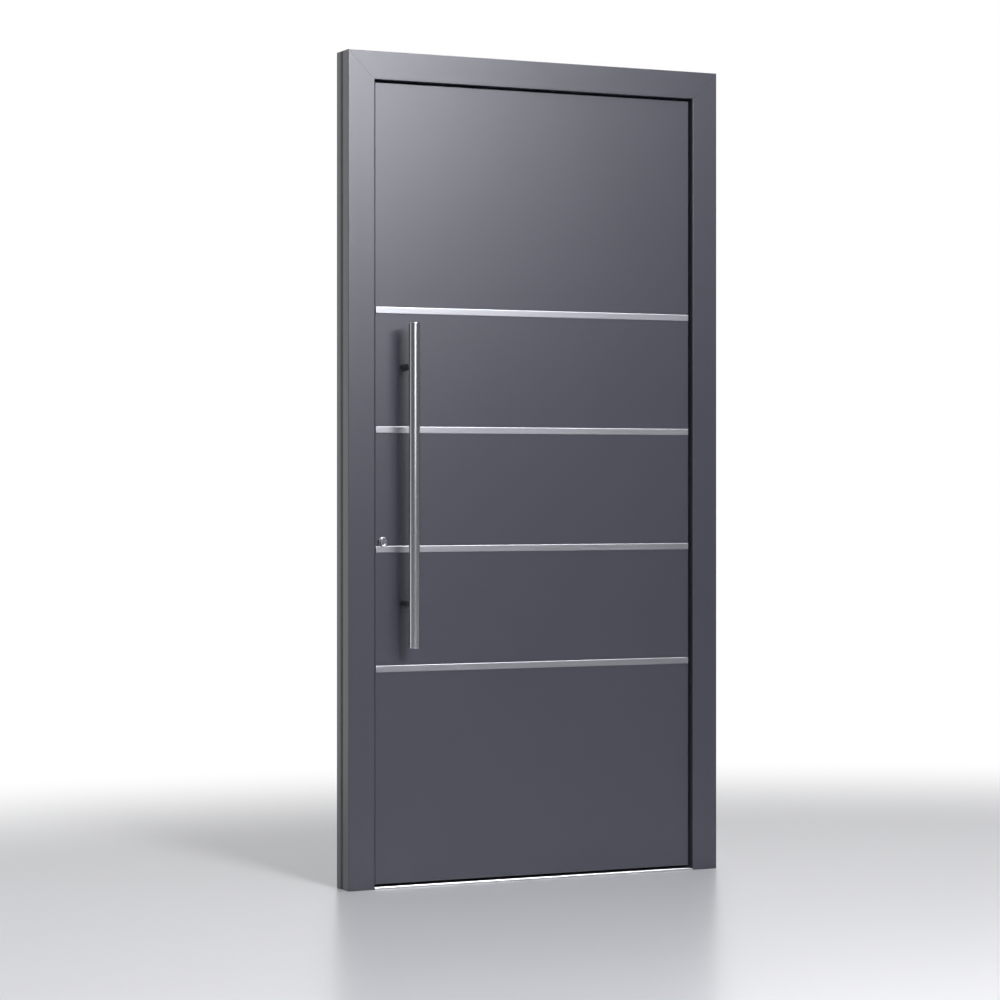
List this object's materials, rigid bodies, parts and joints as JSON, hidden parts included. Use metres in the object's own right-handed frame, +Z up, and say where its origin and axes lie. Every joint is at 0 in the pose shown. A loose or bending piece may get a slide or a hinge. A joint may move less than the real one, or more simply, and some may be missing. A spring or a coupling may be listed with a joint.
{
  "type": "entry door",
  "caption": "Flush aluminium entry door in its frame, with steel strips, a long pull bar, a lock cylinder and a low sill; the leaf opens inwards.",
  "frame": {"origin": "middle of the sill's underside, at the middle of the frame's depth", "axes": "+X to the right seen from outside, +Y into the building, +Z up"},
  "size_m": [1.2, 0.2346, 2.405],
  "materials": {
    "frame_paint": "satin powder coat, anthracite grey",
    "leaf_paint": "satin powder coat, anthracite grey",
    "strip_steel": "brushed along the strip",
    "bar_steel": "satin, brushed round",
    "lock_steel": "satin",
    "hinge_steel": "satin",
    "post_black": "satin black",
    "sill_metal": "satin anodised",
    "plastic": "matt black glass-fibre reinforced plastic",
    "foam": "rigid foam",
    "seal": "matt black"
  },
  "bodies": {
    "frame": {"lock_jamb_outer": "frame_paint", "lock_jamb_break": "plastic", "lock_jamb_inner": "frame_paint", "lock_jamb_seal": "seal", "hinge_jamb_outer": "frame_paint", "hinge_jamb_break": "plastic", "hinge_jamb_inner": "frame_paint", "hinge_jamb_seal": "seal", "head_outer": "frame_paint", "head_break": "plastic", "head_inner": "frame_paint", "head_seal": "seal", "sill_front": "sill_metal", "sill_core": "plastic", "sill_rear": "sill_metal", "strike_box": "lock_steel", "hinge_1_frame": "hinge_steel", "hinge_2_frame": "hinge_steel", "hinge_3_frame": "hinge_steel"},
    "leaf": {"outer_skin": "leaf_paint", "inner_skin": "leaf_paint", "leaf_core": "foam", "lock_stile": "leaf_paint", "hinge_stile": "leaf_paint", "top_rail": "leaf_paint", "bottom_rail": "leaf_paint", "bottom_seal": "seal", "strip_1": "strip_steel", "strip_2": "strip_steel", "strip_3": "strip_steel", "strip_4": "strip_steel", "cylinder_ring": "lock_steel", "pull_bar": "bar_steel", "upper_post": "post_black", "lower_post": "post_black", "lever_rosette": "bar_steel", "turn_rosette": "bar_steel", "lever_handle": "bar_steel", "thumb_turn": "bar_steel", "lock_faceplate": "lock_steel", "latch_bolt": "lock_steel", "dead_bolt": "lock_steel", "hinge_1_leaf": "hinge_steel", "hinge_2_leaf": "hinge_steel", "hinge_3_leaf": "hinge_steel"},
    "key_plug": {"key_plug": "lock_steel"}
  },
  "joints": [
    {"name": "leaf_hinge", "type": "hinge", "parent": "frame", "child": "leaf", "pos_m": [0.5405, 0.061, 0], "axis": [0, 0, -1], "range_deg": [0, 100]},
    {"name": "key_turn", "type": "hinge", "parent": "leaf", "child": "key_plug", "pos_m": [-0.4885, -0.0355, 0.996], "axis": [0, 1, 0], "continuous": true}
  ]
}
